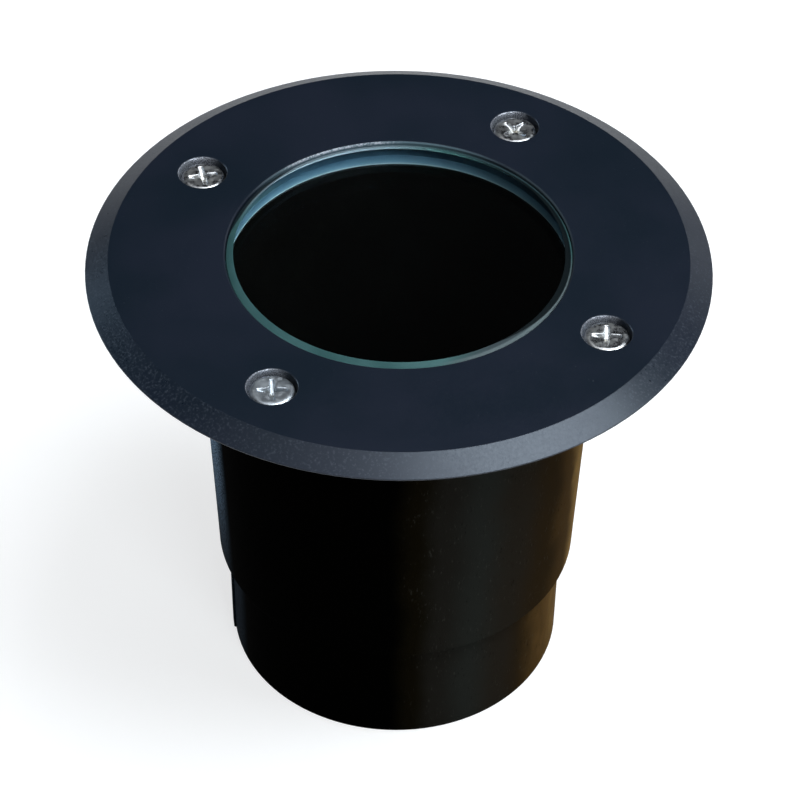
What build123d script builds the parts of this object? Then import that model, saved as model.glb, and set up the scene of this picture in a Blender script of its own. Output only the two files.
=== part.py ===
"""In-ground well light: a bevelled trim ring screwed down over a thick stepped glass, on a cast
housing that hangs in a stepped mounting sleeve, with its lampholder, leads, earth terminal and
cable gland. Millimetres, +Z up. The origin is the centre of the sleeve's base, the front is -Y.
"""

from build123d import *
import os
from math import cos, pi, radians, sin, tan

# ---------------------------------------------------------------- trim ring
trim_diameter = 110.0
trim_top_diameter = 101.8
trim_bevel_height = 2.3
trim_rim_thickness = 2.5
trim_hub_diameter = 94.0
trim_hub_thickness = 4.0
trim_lip_thickness = 2.5
trim_opening_diameter = 61.0
trim_opening_bevel = 0.25
screw_circle_diameter = 82.5
screw_clocking = 59.5
screw_turns = (45.0, 14.0, 3.0, -3.0)
counterbore_diameter = 8.7
counterbore_depth = 3.0
counterbore_bevel = 0.15

# ---------------------------------------------------------------- fasteners
m4_diameter = 4.0
m4_head_diameter = 7.8
m4_head_height = 1.9
m4_recess_span = 5.0
m3_diameter = 3.0
m3_head_diameter = 5.5
m3_head_height = 1.7
m3_recess_span = 3.4
head_edge_share = 0.5
head_crown_share = 0.62
head_dome_point = (0.845, 0.715)
recess_arm_width = 0.95
recess_depth_share = 0.72
recess_taper = 7.0
trim_screw_length = 7.4
trim_washer_diameter = 8.0
trim_washer_thickness = 0.4
screw_tip_chamfer = 0.4
thread_clearance = 0.05
screw_hole_clearance = 0.25

# ---------------------------------------------------------------- glass and its gasket
lens_thickness = 6.0
lens_bevel_width = 1.2
lens_bevel_depth = 0.7
lens_step_clearance = 0.3
lens_edge_width = 4.0
lens_arris = 0.3
gasket_top_lip = 0.5
gasket_bottom_lip = 2.0
gasket_edge_wall = 1.3
gasket_lip_clearance = 0.5
gasket_bore_diameter = 60.6
gasket_seat_clearance = 0.4

# ---------------------------------------------------------------- housing
housing_flange_diameter = 93.0
housing_flange_thickness = 3.5
housing_wall = 2.0
seat_wall = 2.5
seat_floor_thickness = 2.3
chamber_diameter = 60.0
lower_chamber_diameter = 48.6
shoulder_thickness = 2.5
housing_floor = 2.0
screw_boss_diameter = 9.0
flange_rib_thickness = 2.0
flange_rib_angles = (30.0, 60.0)
flange_rib_inset = 1.0
can_corner_radius = 1.5
post_diameter = 6.5
post_height = 6.0
post_hole_depth = 6.0
earth_boss_diameter = 7.0
earth_boss_height = 4.0
earth_boss_wall_distance = 5.8
earth_hole_depth = 5.0

# ---------------------------------------------------------------- mounting sleeve
sleeve_wall = 2.0
sleeve_clearance = 1.85
sleeve_lower_clearance = 3.0
sleeve_draft = 2.4
sleeve_lower_draft = 0.5
sleeve_step_height = 23.4
sleeve_step_radius = 0.5
sleeve_base_radius = 0.5
sleeve_collar_diameter = 80.0
sleeve_collar_thickness = 3.2
sleeve_outlet_diameter = 40.0
sleeve_base_thickness = 2.4
shoulder_ledge_clearance = 2.6
entry_band_thickness = 0.4
entry_band_angle = 170.0
entry_band_span = 40.0
entry_band_base_gap = 0.5
entry_band_end_radius = 0.35
knockout_width = 12.0
knockout_height = 9.0
knockout_base = 8.0
knockout_web = 0.9

# ---------------------------------------------------------------- cable gland
gland_ground_clearance = 3.0
gland_thread_diameter = 12.0
gland_flats = 15.0
gland_nut_height = 7.6
gland_nut_gap = 0.2
gland_nut_floor = 1.0
gland_nut_chamfer = 1.4
gland_hex_height = 3.5
gland_stub_diameter = 10.8
gland_stub_length = 5.1
gland_running_clearance = 0.05
gland_mouth_diameter = 7.2
gland_locknut_thickness = 3.0
gland_thread_proud = 0.4
gland_gasket_thickness = 0.8
gland_hole_clearance = 0.15
seal_bore_diameter = 6.5
seal_length = 4.8
seal_wall = 0.95
seal_socket_clearance = 0.05

# ---------------------------------------------------------------- lampholder and its bracket
bracket_thickness = 1.2
bracket_end_clearance = 1.8
bracket_hole_margin = 3.0
bracket_width = 12.0
bracket_core_hole_diameter = 9.0
backplate_thickness = 1.2
backplate_inset = 0.6
lampholder_diameter = 27.0
lampholder_height = 12.5
lampholder_edge_radius = 0.9
pin_spacing = 10.0
pin_hole_diameter = 6.2
pin_slot_width = 3.2
pin_slot_turn = 34.0
contact_chamber_width = 6.0
contact_chamber_length = 6.6
contact_chamber_height = 5.5
contact_chamber_offset = 6.3
contact_width = 4.0
contact_span = 5.8
contact_height = 4.5
contact_strip = 0.5
lead_bore_diameter = 2.2
holder_screw_offset = 8.5
holder_screw_head_recess = 2.5
holder_screw_length = 13.5
bracket_screw_length = 5.0
lamp_room = 48.0

# ---------------------------------------------------------------- leads, crimps and earth terminal
lead_diameter = 1.7
lead_route = ((0.0, -9.4), (0.0, -15.6), (5.0, -20.0), (14.0, -17.5), (19.2, -10.5), (19.2, -6.2))
lead_bend_share = 0.45
crimp_diameter = 4.0
crimp_length = 12.0
crimp_socket_diameter = 2.2
crimp_socket_depth = 5.0
crimp_edge = 0.5
crimp_screw_clearance = 0.5
earth_lug_diameter = 7.6
earth_lug_thickness = 0.8
earth_barrel_diameter = 3.6
earth_barrel_length = 6.5
earth_barrel_bore = 2.2
earth_barrel_depth = 5.5
earth_neck_width = 3.0
earth_washer_diameter = 7.2
earth_washer_thickness = 0.8
earth_screw_length = 5.5

# ---------------------------------------------------------------- working allowances
position_tolerance = 0.01
cut_overrun = 1.0

# ---------------------------------------------------------------- heights that follow, from the base up
gland_nut_bottom = gland_ground_clearance
gland_hex_bottom = gland_nut_bottom + gland_nut_height + gland_nut_gap
gland_hex_top = gland_hex_bottom + gland_hex_height
floor_bottom = gland_hex_top + gland_gasket_thickness
floor_top = floor_bottom + housing_floor
post_top = floor_top + post_height
bracket_top = post_top + bracket_thickness
backplate_top = bracket_top + backplate_thickness
lead_height = bracket_top + m3_head_height + crimp_screw_clearance + crimp_diameter / 2
lampholder_top = backplate_top + lampholder_height
lens_bottom = lampholder_top + lamp_room
top = lens_bottom + lens_thickness

lip_bottom = top - trim_lip_thickness
rim_bottom = top - trim_rim_thickness
hub_bottom = top - trim_hub_thickness
lens_flange_top = lip_bottom - gasket_top_lip
seat_height = lens_bottom - gasket_bottom_lip
flange_bottom = hub_bottom - housing_flange_thickness
neck_bottom = seat_height - seat_floor_thickness
collar_bottom = neck_bottom - sleeve_collar_thickness
ledge_height = sleeve_step_height + sleeve_wall
shoulder_bottom = ledge_height + shoulder_ledge_clearance
shoulder_top = shoulder_bottom + shoulder_thickness
screw_seat = top - counterbore_depth + trim_washer_thickness

# ---------------------------------------------------------------- radii that follow, from the inside out
opening_radius = trim_opening_diameter / 2
lens_step_radius = opening_radius - lens_step_clearance
lens_flange_radius = lens_step_radius + lens_edge_width
gasket_radius = lens_flange_radius + gasket_edge_wall
seat_radius = gasket_radius + gasket_seat_clearance
neck_radius = seat_radius + seat_wall
screw_circle_radius = screw_circle_diameter / 2


def drafted(radius, from_height, to_height, draft):
    """Radius of a drafted wall at to_height, where it has the given radius at from_height."""
    return radius + (to_height - from_height) * tan(radians(draft))


chamber_top_radius = chamber_diameter / 2
chamber_low_radius = drafted(chamber_top_radius, neck_bottom, shoulder_top, sleeve_draft)
can_top_radius = chamber_top_radius + housing_wall
can_low_radius = drafted(can_top_radius, neck_bottom, shoulder_bottom, sleeve_draft)
lower_chamber_radius = lower_chamber_diameter / 2
lower_can_radius = lower_chamber_radius + housing_wall
bracket_length = 2 * (lower_chamber_radius - bracket_end_clearance)
post_offset = bracket_length / 2 - bracket_hole_margin
earth_boss_offset = lower_chamber_radius - earth_boss_wall_distance
sleeve_bore_radius = can_top_radius + sleeve_clearance
sleeve_top_radius = sleeve_bore_radius + sleeve_wall
sleeve_step_top_radius = drafted(sleeve_top_radius, neck_bottom, sleeve_step_height, sleeve_draft)
sleeve_ledge_radius = drafted(sleeve_bore_radius, neck_bottom, ledge_height, sleeve_draft)
sleeve_lower_bore_radius = lower_can_radius + sleeve_lower_clearance
sleeve_lower_radius = sleeve_lower_bore_radius + sleeve_wall
sleeve_base_bore_radius = drafted(
    sleeve_lower_bore_radius, ledge_height, sleeve_base_thickness, sleeve_lower_draft
)
sleeve_foot_radius = drafted(sleeve_lower_radius, sleeve_step_height, 0, sleeve_lower_draft)

m4_hole_radius = m4_diameter / 2
m4_shank_radius = m4_hole_radius - thread_clearance
m3_hole_radius = m3_diameter / 2
m3_shank_radius = m3_hole_radius - thread_clearance


def revolved(points):
    """Solid of revolution about Z from the corners (radius, height) of its half section."""
    with BuildPart() as turned:
        with BuildSketch(Plane.XZ):
            with BuildLine():
                Polyline(*points, close=True)
            make_face()
        revolve(axis=Axis.Z)
    return turned.part


def ring(inner_radius, outer_radius, bottom, thickness):
    """Flat ring that lies between two heights, centred on Z."""
    with BuildPart() as washer:
        with BuildSketch(Plane.XY.offset(bottom)):
            Circle(outer_radius)
            Circle(inner_radius, mode=Mode.SUBTRACT)
        extrude(amount=thickness)
    return washer.part


def pan_screw(head_diameter, head_height, shank_radius, length, recess_span):
    """Cross-recessed pan-head screw: the head's bearing face is at the origin, the shank below."""
    head_radius = head_diameter / 2
    edge_height = head_height * head_edge_share
    with BuildPart() as screw:
        with BuildSketch(Plane.XZ):
            with BuildLine():
                crown = (head_radius * head_crown_share, head_height)
                Polyline(crown, (0, head_height), (0, 0), (head_radius, 0), (head_radius, edge_height))
                dome_point = (
                    head_radius * head_dome_point[0],
                    edge_height + (head_height - edge_height) * head_dome_point[1],
                )
                ThreePointArc((head_radius, edge_height), dome_point, crown)
            make_face()
        revolve(axis=Axis.Z)
        with BuildSketch(Plane.XY):
            Circle(shank_radius)
        extrude(amount=-length)
        tip = screw.edges().filter_by(GeomType.CIRCLE).group_by(Axis.Z)[0]
        chamfer(tip, screw_tip_chamfer)
        with BuildSketch(Plane.XY.offset(head_height)):
            Rectangle(recess_span, recess_arm_width)
            Rectangle(recess_arm_width, recess_span)
        extrude(amount=-head_height * recess_depth_share, taper=recess_taper, mode=Mode.SUBTRACT)
    return screw.part


def write(built, name):
    """Label a finished piece and write its STEP file."""
    built.part.label = name
    export_step(built.part, f"parts/{name}.step")


os.makedirs("parts", exist_ok=True)

# ---------------------------------------------------------------- mounting sleeve
sleeve_profile = revolved(
    [
        (sleeve_outlet_diameter / 2, 0),
        (sleeve_foot_radius, 0),
        (sleeve_lower_radius, sleeve_step_height),
        (sleeve_step_top_radius, sleeve_step_height),
        (drafted(sleeve_top_radius, neck_bottom, collar_bottom, sleeve_draft), collar_bottom),
        (sleeve_collar_diameter / 2, collar_bottom),
        (sleeve_collar_diameter / 2, neck_bottom),
        (sleeve_bore_radius, neck_bottom),
        (sleeve_ledge_radius, ledge_height),
        (sleeve_lower_bore_radius, ledge_height),
        (sleeve_base_bore_radius, sleeve_base_thickness),
        (sleeve_outlet_diameter / 2, sleeve_base_thickness),
    ]
)
entry_band_radius = sleeve_lower_radius + entry_band_thickness
entry_band_low_radius = drafted(
    entry_band_radius, sleeve_step_height, entry_band_base_gap, sleeve_lower_draft
)
knockout_depth = entry_band_low_radius - sleeve_base_bore_radius - knockout_web
with BuildPart() as mounting_sleeve:
    add(sleeve_profile)
    for edge_height, edge_radius in ((0, sleeve_base_radius), (sleeve_step_height, sleeve_step_radius)):
        outer_edges = mounting_sleeve.edges().filter_by(GeomType.CIRCLE).filter_by_position(
            Axis.Z, edge_height - position_tolerance, edge_height + position_tolerance
        )
        fillet(outer_edges.sort_by(SortBy.RADIUS)[-1], edge_radius)
    # Raised band down the back left, from the step to the base, with a rounded lower end.
    band_plane = Plane.XZ.rotated((0, 0, entry_band_angle - entry_band_span / 2))
    with BuildSketch(band_plane):
        with BuildLine():
            Polyline(
                (sleeve_lower_radius - sleeve_wall / 2, entry_band_base_gap),
                (entry_band_low_radius, entry_band_base_gap),
                (entry_band_radius, sleeve_step_height),
                (sleeve_lower_radius - sleeve_wall / 2, sleeve_step_height),
                close=True,
            )
        band_section = make_face()
        band_foot = band_section.vertices().group_by(Axis.Y)[0].sort_by(Axis.X)[-1]
        fillet(band_foot, entry_band_end_radius)
    revolve(axis=Axis.Z, revolution_arc=entry_band_span)
    # Thin panel behind the band, which is knocked out where the cord leaves sideways.
    knockout_plane = Plane(
        origin=(0, 0, knockout_base + knockout_height / 2),
        x_dir=(-sin(radians(entry_band_angle)), cos(radians(entry_band_angle)), 0),
        z_dir=(cos(radians(entry_band_angle)), sin(radians(entry_band_angle)), 0),
    )
    with BuildSketch(knockout_plane.offset(sleeve_base_bore_radius - cut_overrun)):
        Rectangle(knockout_width, knockout_height)
    extrude(amount=knockout_depth + cut_overrun, mode=Mode.SUBTRACT)
write(mounting_sleeve, "mounting_sleeve")

# ---------------------------------------------------------------- housing
housing_profile = revolved(
    [
        (0, floor_bottom),
        (lower_can_radius, floor_bottom),
        (lower_can_radius, shoulder_bottom),
        (can_low_radius, shoulder_bottom),
        (can_top_radius, neck_bottom),
        (neck_radius, neck_bottom),
        (neck_radius, flange_bottom),
        (housing_flange_diameter / 2, flange_bottom),
        (housing_flange_diameter / 2, hub_bottom),
        (seat_radius, hub_bottom),
        (seat_radius, seat_height),
        (chamber_top_radius, seat_height),
        (chamber_low_radius, shoulder_top),
        (lower_chamber_radius, shoulder_top),
        (lower_chamber_radius, floor_top),
        (0, floor_top),
    ]
)
rib_length = housing_flange_diameter / 2 - flange_rib_inset - neck_radius + cut_overrun
rib_radius = housing_flange_diameter / 2 - flange_rib_inset - rib_length / 2
with BuildPart() as housing:
    add(housing_profile)
    for corner_height in (floor_bottom, shoulder_bottom):
        corners = housing.edges().filter_by(GeomType.CIRCLE).filter_by_position(
            Axis.Z, corner_height - position_tolerance, corner_height + position_tolerance
        )
        fillet(corners.sort_by(SortBy.RADIUS)[-1], can_corner_radius)
    # Screw bosses under the flange, with the ribs between them.
    with BuildSketch(Plane.XY.offset(neck_bottom)):
        with PolarLocations(screw_circle_radius, 4, screw_clocking):
            Circle(screw_boss_diameter / 2)
        for angle in flange_rib_angles:
            with PolarLocations(rib_radius, 4, screw_clocking + angle):
                Rectangle(rib_length, flange_rib_thickness)
    extrude(amount=flange_bottom - neck_bottom)
    # Posts for the lampholder bracket and the boss for the earth screw.
    with BuildSketch(Plane.XY.offset(floor_top)):
        with Locations((-post_offset, 0), (post_offset, 0)):
            Circle(post_diameter / 2)
    extrude(amount=post_height)
    with BuildSketch(Plane.XY.offset(floor_top)):
        with Locations((0, -earth_boss_offset)):
            Circle(earth_boss_diameter / 2)
    extrude(amount=earth_boss_height)
    # Tapped holes, and the gland's hole in the floor.
    with Locations(Plane.XY.offset(hub_bottom)):
        with PolarLocations(screw_circle_radius, 4, screw_clocking):
            Hole(m4_hole_radius, depth=hub_bottom - neck_bottom)
    with Locations(Plane.XY.offset(post_top)):
        with Locations((-post_offset, 0), (post_offset, 0)):
            Hole(m3_hole_radius, depth=post_hole_depth)
    with Locations(Plane.XY.offset(floor_top + earth_boss_height)):
        with Locations((0, -earth_boss_offset)):
            Hole(m4_hole_radius, depth=earth_hole_depth)
    with Locations(Plane.XY.offset(floor_top)):
        Hole(gland_thread_diameter / 2 + gland_hole_clearance, depth=housing_floor)
write(housing, "housing")

# ---------------------------------------------------------------- trim ring
trim_profile = revolved(
    [
        (opening_radius, lip_bottom),
        (opening_radius, top),
        (trim_top_diameter / 2, top),
        (trim_diameter / 2, top - trim_bevel_height),
        (trim_diameter / 2, rim_bottom),
        (trim_hub_diameter / 2, rim_bottom),
        (trim_hub_diameter / 2, hub_bottom),
        (seat_radius, hub_bottom),
        (seat_radius, lip_bottom),
    ]
)
with BuildPart() as trim_ring:
    add(trim_profile)
    top_circles = trim_ring.edges().filter_by(GeomType.CIRCLE).group_by(Axis.Z)[-1]
    chamfer(top_circles.sort_by(SortBy.RADIUS)[0], trim_opening_bevel)
    with Locations(Plane.XY.offset(top)):
        with PolarLocations(screw_circle_radius, 4, screw_clocking):
            CounterBoreHole(
                m4_hole_radius + screw_hole_clearance,
                counterbore_diameter / 2,
                counterbore_depth,
                depth=trim_hub_thickness,
            )
    rim_circles = trim_ring.edges().filter_by(GeomType.CIRCLE).group_by(Axis.Z)[-1]
    chamfer(rim_circles.group_by(SortBy.RADIUS)[0], counterbore_bevel)
write(trim_ring, "trim_ring")

# ---------------------------------------------------------------- trim screws and their washers
trim_screw = pan_screw(
    m4_head_diameter, m4_head_height, m4_shank_radius, trim_screw_length, m4_recess_span
)
trim_washer = ring(
    m4_hole_radius + screw_hole_clearance / 2,
    trim_washer_diameter / 2,
    -trim_washer_thickness,
    trim_washer_thickness,
)
screw_places = [
    Location(
        (
            screw_circle_radius * cos(radians(screw_clocking + 90 * index)),
            screw_circle_radius * sin(radians(screw_clocking + 90 * index)),
            screw_seat,
        ),
        (0, 0, turn),
    )
    for index, turn in enumerate(screw_turns)
]
with BuildPart() as trim_screws:
    with Locations(*screw_places):
        add(trim_screw)
write(trim_screws, "trim_screws")

with BuildPart() as trim_screw_washers:
    with Locations(*screw_places):
        add(trim_washer)
write(trim_screw_washers, "trim_screw_washers")

# ---------------------------------------------------------------- glass
lens_profile = revolved(
    [
        (0, lens_bottom),
        (lens_flange_radius, lens_bottom),
        (lens_flange_radius, lens_flange_top),
        (lens_step_radius, lens_flange_top),
        (lens_step_radius, top - lens_bevel_depth),
        (lens_step_radius - lens_bevel_width, top),
        (0, top),
    ]
)
with BuildPart() as lens:
    add(lens_profile)
    lens_circles = lens.edges().filter_by(GeomType.CIRCLE)
    chamfer(lens_circles.group_by(Axis.Z)[0], lens_arris)
write(lens, "lens")

# ---------------------------------------------------------------- glass gasket, a U round the edge
with BuildPart() as lens_gasket:
    add(
        revolved(
            [
                (gasket_bore_diameter / 2, seat_height),
                (gasket_radius, seat_height),
                (gasket_radius, lip_bottom),
                (lens_step_radius + gasket_lip_clearance, lip_bottom),
                (lens_step_radius + gasket_lip_clearance, lens_flange_top),
                (lens_flange_radius, lens_flange_top),
                (lens_flange_radius, lens_bottom),
                (gasket_bore_diameter / 2, lens_bottom),
            ]
        )
    )
write(lens_gasket, "lens_gasket")

# ---------------------------------------------------------------- lampholder bracket
with BuildPart() as lampholder_bracket:
    with BuildSketch(Plane.XY.offset(post_top)):
        SlotOverall(bracket_length, bracket_width)
        Circle(bracket_core_hole_diameter / 2, mode=Mode.SUBTRACT)
        with Locations((-post_offset, 0), (post_offset, 0)):
            Circle(m3_hole_radius + screw_hole_clearance, mode=Mode.SUBTRACT)
        with Locations((-holder_screw_offset, 0), (holder_screw_offset, 0)):
            Circle(m3_hole_radius, mode=Mode.SUBTRACT)
    extrude(amount=bracket_thickness)
write(lampholder_bracket, "lampholder_bracket")

bracket_screw = pan_screw(
    m3_head_diameter, m3_head_height, m3_shank_radius, bracket_screw_length, m3_recess_span
)
with BuildPart() as bracket_screws:
    with Locations((-post_offset, 0, bracket_top), (post_offset, 0, bracket_top)):
        add(bracket_screw)
write(bracket_screws, "bracket_screws")

# ---------------------------------------------------------------- lampholder
lampholder_radius = lampholder_diameter / 2
with BuildPart() as lampholder_backplate:
    with BuildSketch(Plane.XY.offset(bracket_top)):
        Circle(lampholder_radius - backplate_inset)
        with Locations((-holder_screw_offset, 0), (holder_screw_offset, 0)):
            Circle(m3_hole_radius + screw_hole_clearance, mode=Mode.SUBTRACT)
    extrude(amount=backplate_thickness)
write(lampholder_backplate, "lampholder_backplate")

pin_hole_floor = backplate_top + contact_chamber_height
with BuildPart() as lampholder_body:
    with BuildSketch(Plane.XY.offset(backplate_top)):
        Circle(lampholder_radius)
    extrude(amount=lampholder_height)
    fillet(lampholder_body.edges().group_by(Axis.Z)[-1], lampholder_edge_radius)
    # Keyhole slots for the lamp's two pins: a round entry and the slot that it turns into.
    with BuildSketch(Plane.XY.offset(pin_hole_floor)):
        with Locations((0, -pin_spacing / 2), (0, pin_spacing / 2)):
            Circle(pin_hole_diameter / 2)
        for entry_angle in (-90, 90):
            with BuildLine():
                slot_path = CenterArc((0, 0), pin_spacing / 2, entry_angle, pin_slot_turn)
                offset(slot_path, pin_slot_width / 2, kind=Kind.ARC)
            make_face()
    extrude(amount=lampholder_top - pin_hole_floor, mode=Mode.SUBTRACT)
    # Contact chambers, open towards the backplate, and the bores that bring the leads in.
    with BuildSketch(Plane.XY.offset(backplate_top)):
        with Locations((0, -contact_chamber_offset), (0, contact_chamber_offset)):
            Rectangle(contact_chamber_width, contact_chamber_length)
    extrude(amount=contact_chamber_height, mode=Mode.SUBTRACT)
    with BuildSketch(Plane.XZ.offset(-lampholder_radius)):
        with Locations((0, lead_height)):
            Circle(lead_bore_diameter / 2)
    extrude(amount=lampholder_diameter, mode=Mode.SUBTRACT)
    with Locations(Plane.XY.offset(lampholder_top)):
        with Locations((-holder_screw_offset, 0), (holder_screw_offset, 0)):
            CounterBoreHole(
                m3_hole_radius + screw_hole_clearance,
                m3_head_diameter / 2 + screw_hole_clearance,
                holder_screw_head_recess,
                depth=lampholder_height,
            )
write(lampholder_body, "lampholder_body")

lampholder_screw = pan_screw(
    m3_head_diameter, m3_head_height, m3_shank_radius, holder_screw_length, m3_recess_span
)
holder_screw_seat = lampholder_top - holder_screw_head_recess
with BuildPart() as lampholder_screws:
    with Locations(
        (-holder_screw_offset, 0, holder_screw_seat), (holder_screw_offset, 0, holder_screw_seat)
    ):
        add(lampholder_screw)
write(lampholder_screws, "lampholder_screws")

# Each contact is a strip bent to a U that stands in its chamber and grips the lamp's pin.
with BuildPart() as lampholder_contacts:
    with BuildSketch(Plane.YZ.offset(-contact_width / 2)):
        for side in (-1, 1):
            with Locations((side * contact_chamber_offset, backplate_top + contact_height / 2)):
                Rectangle(contact_span, contact_height)
            with Locations(
                (side * contact_chamber_offset, backplate_top + contact_height / 2 + contact_strip)
            ):
                Rectangle(contact_span - 2 * contact_strip, contact_height, mode=Mode.SUBTRACT)
    extrude(amount=contact_width)
write(lampholder_contacts, "lampholder_contacts")


# ---------------------------------------------------------------- leads and crimps
def lead(name, turn):
    """Lead from a contact, out of the holder's side and round it to its crimp."""
    corners = [Vector(x, y, lead_height).rotate(Axis.Z, turn) for x, y in lead_route]
    runs = [after - before for before, after in zip(corners, corners[1:])]
    radii = [
        lead_bend_share
        * min(arriving.length, leaving.length)
        / tan(radians(arriving.get_angle(leaving)) / 2)
        for arriving, leaving in zip(runs, runs[1:])
    ]
    print(name, "bend radii", [round(radius, 1) for radius in radii])
    with BuildPart() as wire:
        with BuildLine() as route:
            FilletPolyline(*corners, radius=radii)
        with BuildSketch(Plane(origin=corners[0], z_dir=runs[0])):
            Circle(lead_diameter / 2)
        sweep(path=route.wires()[0])
    length = route.wires()[0].length
    tube_volume = pi * (lead_diameter / 2) ** 2 * length
    print(name, "length", round(length, 1), "volume ratio", round(wire.part.volume / tube_volume, 6))
    write(wire, name)


lead("live_lead", 0)
lead("neutral_lead", 180)

lead_end_x = lead_route[-1][0]
lead_end_y = lead_route[-1][1]
with BuildPart() as crimp:
    with BuildSketch(Plane.XZ):
        Circle(crimp_diameter / 2)
    extrude(amount=-crimp_length)
    chamfer(crimp.edges().filter_by(GeomType.CIRCLE), crimp_edge)
    with Locations(Plane((0, crimp_length, 0), z_dir=(0, 1, 0))):
        Hole(crimp_socket_diameter / 2, depth=crimp_socket_depth)
with BuildPart() as lead_crimps:
    with Locations(
        Location((lead_end_x, lead_end_y, lead_height)),
        Location((-lead_end_x, -lead_end_y, lead_height), (0, 0, 180)),
    ):
        add(crimp.part)
write(lead_crimps, "lead_crimps")

# ---------------------------------------------------------------- earth terminal
earth_boss_top = floor_top + earth_boss_height
earth_lug_top = earth_boss_top + earth_lug_thickness
earth_washer_top = earth_lug_top + earth_washer_thickness
barrel_start = m4_head_diameter / 2
barrel_height = earth_boss_top + earth_barrel_diameter / 2
with BuildPart() as earth_lug:
    with BuildSketch(Plane.XY.offset(earth_boss_top)):
        with Locations((0, -earth_boss_offset)):
            Circle(earth_lug_diameter / 2)
        with Locations(((barrel_start + cut_overrun) / 2, -earth_boss_offset)):
            Rectangle(barrel_start + cut_overrun, earth_neck_width)
        with Locations((0, -earth_boss_offset)):
            Circle(m4_hole_radius + screw_hole_clearance, mode=Mode.SUBTRACT)
    extrude(amount=earth_lug_thickness)
    barrel_plane = Plane((barrel_start, -earth_boss_offset, barrel_height), z_dir=(1, 0, 0))
    with BuildSketch(barrel_plane):
        Circle(earth_barrel_diameter / 2)
    extrude(amount=earth_barrel_length)
    with BuildSketch(barrel_plane.offset(earth_barrel_length)):
        Circle(earth_barrel_bore / 2)
    extrude(amount=-earth_barrel_depth, mode=Mode.SUBTRACT)
write(earth_lug, "earth_lug")

with BuildPart() as earth_washer:
    with Locations((0, -earth_boss_offset, 0)):
        add(
            ring(
                m4_hole_radius + screw_hole_clearance,
                earth_washer_diameter / 2,
                earth_lug_top,
                earth_washer_thickness,
            )
        )
write(earth_washer, "earth_washer")

with BuildPart() as earth_screw:
    with Locations((0, -earth_boss_offset, earth_washer_top)):
        add(
            pan_screw(
                m4_head_diameter,
                m4_head_height,
                m4_shank_radius,
                earth_screw_length,
                m4_recess_span,
            )
        )
write(earth_screw, "earth_screw")

# ---------------------------------------------------------------- cable gland
gland_thread_radius = gland_thread_diameter / 2
cord_bore_radius = seal_bore_diameter / 2
stub_radius = gland_stub_diameter / 2
stub_bottom = gland_hex_bottom - gland_stub_length
seal_radius = cord_bore_radius + seal_wall
seal_bottom = gland_nut_bottom + gland_nut_floor
seal_top = seal_bottom + seal_length
locknut_top = floor_top + gland_locknut_thickness
thread_top = locknut_top + gland_thread_proud
with BuildPart() as gland_body:
    with BuildSketch(Plane.XY.offset(gland_hex_bottom)):
        RegularPolygon(gland_flats / 2, 6, major_radius=False)
    extrude(amount=gland_hex_height)
    with BuildSketch(Plane.XY.offset(gland_hex_top)):
        Circle(gland_thread_radius)
    extrude(amount=thread_top - gland_hex_top)
    with BuildSketch(Plane.XY.offset(stub_bottom)):
        Circle(stub_radius)
    extrude(amount=gland_stub_length)
    with Locations(Plane.XY.offset(thread_top)):
        Hole(cord_bore_radius, depth=thread_top - stub_bottom)
    with BuildSketch(Plane.XY.offset(stub_bottom)):
        Circle(seal_radius + seal_socket_clearance)
    extrude(amount=seal_top - stub_bottom, mode=Mode.SUBTRACT)
write(gland_body, "gland_body")

with BuildPart() as gland_gasket:
    add(
        ring(
            gland_thread_radius + gland_hole_clearance,
            gland_flats / 2,
            gland_hex_top,
            gland_gasket_thickness,
        )
    )
write(gland_gasket, "gland_gasket")

with BuildPart() as gland_locknut:
    with BuildSketch(Plane.XY.offset(floor_top)):
        RegularPolygon(gland_flats / 2, 6, major_radius=False)
        Circle(gland_thread_radius, mode=Mode.SUBTRACT)
    extrude(amount=gland_locknut_thickness)
write(gland_locknut, "gland_locknut")

with BuildPart() as gland_seal:
    add(ring(cord_bore_radius, seal_radius, seal_bottom, seal_length))
write(gland_seal, "gland_seal")

with BuildPart() as gland_nut:
    with BuildSketch(Plane.XY.offset(gland_nut_bottom)):
        RegularPolygon(gland_flats / 2, 6, major_radius=False)
    extrude(amount=gland_nut_height)
    chamfer(gland_nut.edges().group_by(Axis.Z)[0], gland_nut_chamfer)
    with BuildSketch(Plane.XY.offset(seal_bottom)):
        Circle(stub_radius + gland_running_clearance)
    extrude(amount=gland_nut_height, mode=Mode.SUBTRACT)
    with Locations(Plane.XY.offset(seal_bottom)):
        Hole(gland_mouth_diameter / 2, depth=gland_nut_floor)
write(gland_nut, "gland_nut")

print("overall height", round(top, 3))
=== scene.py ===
import math

import bmesh
import bpy
from mathutils import Matrix, Vector


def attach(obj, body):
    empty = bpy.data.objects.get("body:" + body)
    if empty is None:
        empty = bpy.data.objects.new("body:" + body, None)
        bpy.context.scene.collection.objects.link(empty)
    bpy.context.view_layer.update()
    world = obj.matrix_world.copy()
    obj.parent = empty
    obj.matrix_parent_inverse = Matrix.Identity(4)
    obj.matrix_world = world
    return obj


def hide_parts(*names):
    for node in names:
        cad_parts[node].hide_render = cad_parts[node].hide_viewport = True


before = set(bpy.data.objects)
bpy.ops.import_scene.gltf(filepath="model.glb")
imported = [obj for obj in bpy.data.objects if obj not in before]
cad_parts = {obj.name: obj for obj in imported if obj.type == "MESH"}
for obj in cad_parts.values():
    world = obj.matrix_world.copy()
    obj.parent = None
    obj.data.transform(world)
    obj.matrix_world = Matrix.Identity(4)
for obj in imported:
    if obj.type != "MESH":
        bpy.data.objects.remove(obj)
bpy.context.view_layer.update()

MM = 0.001

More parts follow.
